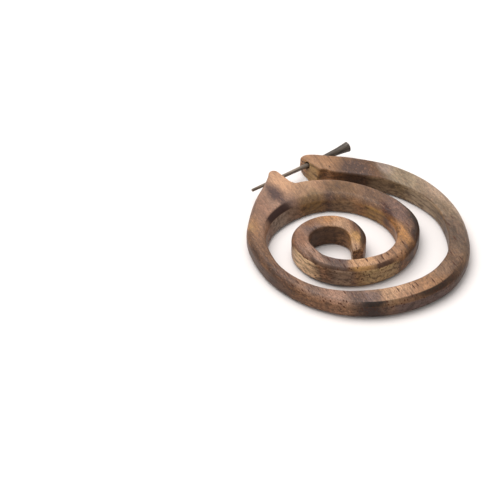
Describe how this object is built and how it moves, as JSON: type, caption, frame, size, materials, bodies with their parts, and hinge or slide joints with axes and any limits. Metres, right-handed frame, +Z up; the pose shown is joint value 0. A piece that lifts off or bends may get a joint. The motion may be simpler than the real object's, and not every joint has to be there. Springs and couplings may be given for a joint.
{
  "type": "stick pin earring",
  "caption": "Flat hoop earring carved from wood as an inward spiral, with a tapered wooden stick pin that closes the gap for the ear.",
  "frame": {"origin": "middle of the hoop's bounding box, at the level of its flat underside", "axes": "+X along the pin towards its head, +Y across the hoop towards the ear gap, +Z up out of the flat side that it lies on"},
  "size_m": [0.0506, 0.0578, 0.0058],
  "materials": {
    "carved_wood": "satin",
    "pin_wood": "satin"
  },
  "bodies": {
    "hoop": {"spiral_hoop": "carved_wood"},
    "pin": {"ear_pin": "pin_wood"}
  },
  "joints": [
    {"name": "pin_slide", "type": "slide", "parent": "hoop", "child": "pin", "axis": [1, 0, 0], "range_m": [0, 0.0168]}
  ]
}
